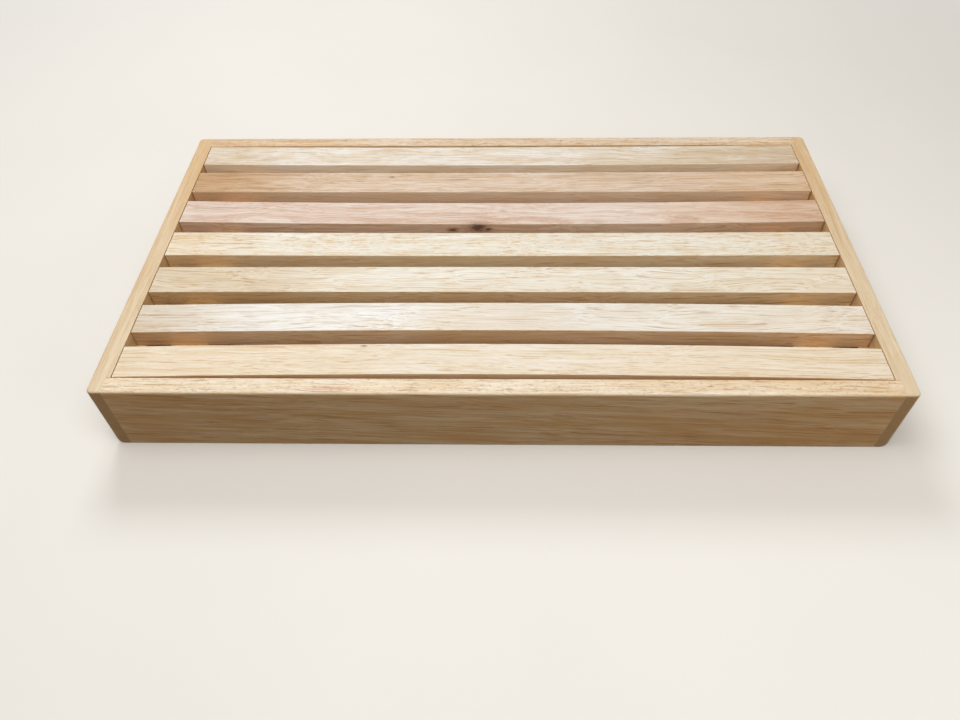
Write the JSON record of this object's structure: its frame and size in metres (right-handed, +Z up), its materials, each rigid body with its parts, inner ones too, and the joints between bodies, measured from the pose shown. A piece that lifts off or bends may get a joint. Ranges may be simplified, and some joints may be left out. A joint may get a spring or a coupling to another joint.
{
  "type": "bread board with crumb catcher",
  "caption": "Slatted wooden bread cutting rack that lifts out of a shallow rectangular tray, which catches the crumbs.",
  "frame": {"origin": "centre of the footprint, on the surface that the board stands on", "axes": "+Z up, +X along the board to the right, -Y towards the person who cuts"},
  "size_m": [0.4, 0.217, 0.0425],
  "materials": {
    "rail_wood": "smooth rubberwood under thin clear oil",
    "dowel_wood": "plain hardwood dowel",
    "panel_wood": "thin plywood, sealed",
    "ledge_wood": "rubberwood strip, sanded",
    "batten_wood": "rubberwood, sanded and oiled",
    "pin_steel": "bright steel pin",
    "screw_steel": "zinc-plated steel",
    "slat_1_wood": "rubberwood, planed and oiled",
    "slat_2_wood": "rubberwood, planed and oiled",
    "slat_3_wood": "rubberwood, planed and oiled",
    "slat_4_wood": "rubberwood, planed and oiled",
    "slat_5_wood": "rubberwood, planed and oiled",
    "slat_6_wood": "rubberwood, planed and oiled",
    "slat_7_wood": "rubberwood, planed and oiled"
  },
  "bodies": {
    "tray": {"end_rail_left": "rail_wood", "end_rail_right": "rail_wood", "front_rail": "rail_wood", "back_rail": "rail_wood", "rail_dowels": "dowel_wood", "base_panel": "panel_wood", "ledge_left": "ledge_wood", "ledge_right": "ledge_wood", "ledge_pins": "pin_steel"},
    "rack": {"slat_1": "slat_1_wood", "slat_2": "slat_2_wood", "slat_3": "slat_3_wood", "slat_4": "slat_4_wood", "slat_5": "slat_5_wood", "slat_6": "slat_6_wood", "slat_7": "slat_7_wood", "batten_left": "batten_wood", "batten_right": "batten_wood", "slat_screws": "screw_steel"}
  },
  "joints": [
    {"name": "rack_lift", "type": "slide", "parent": "tray", "child": "rack", "axis": [0, 0, 1], "range_m": [0, 0.06]}
  ]
}
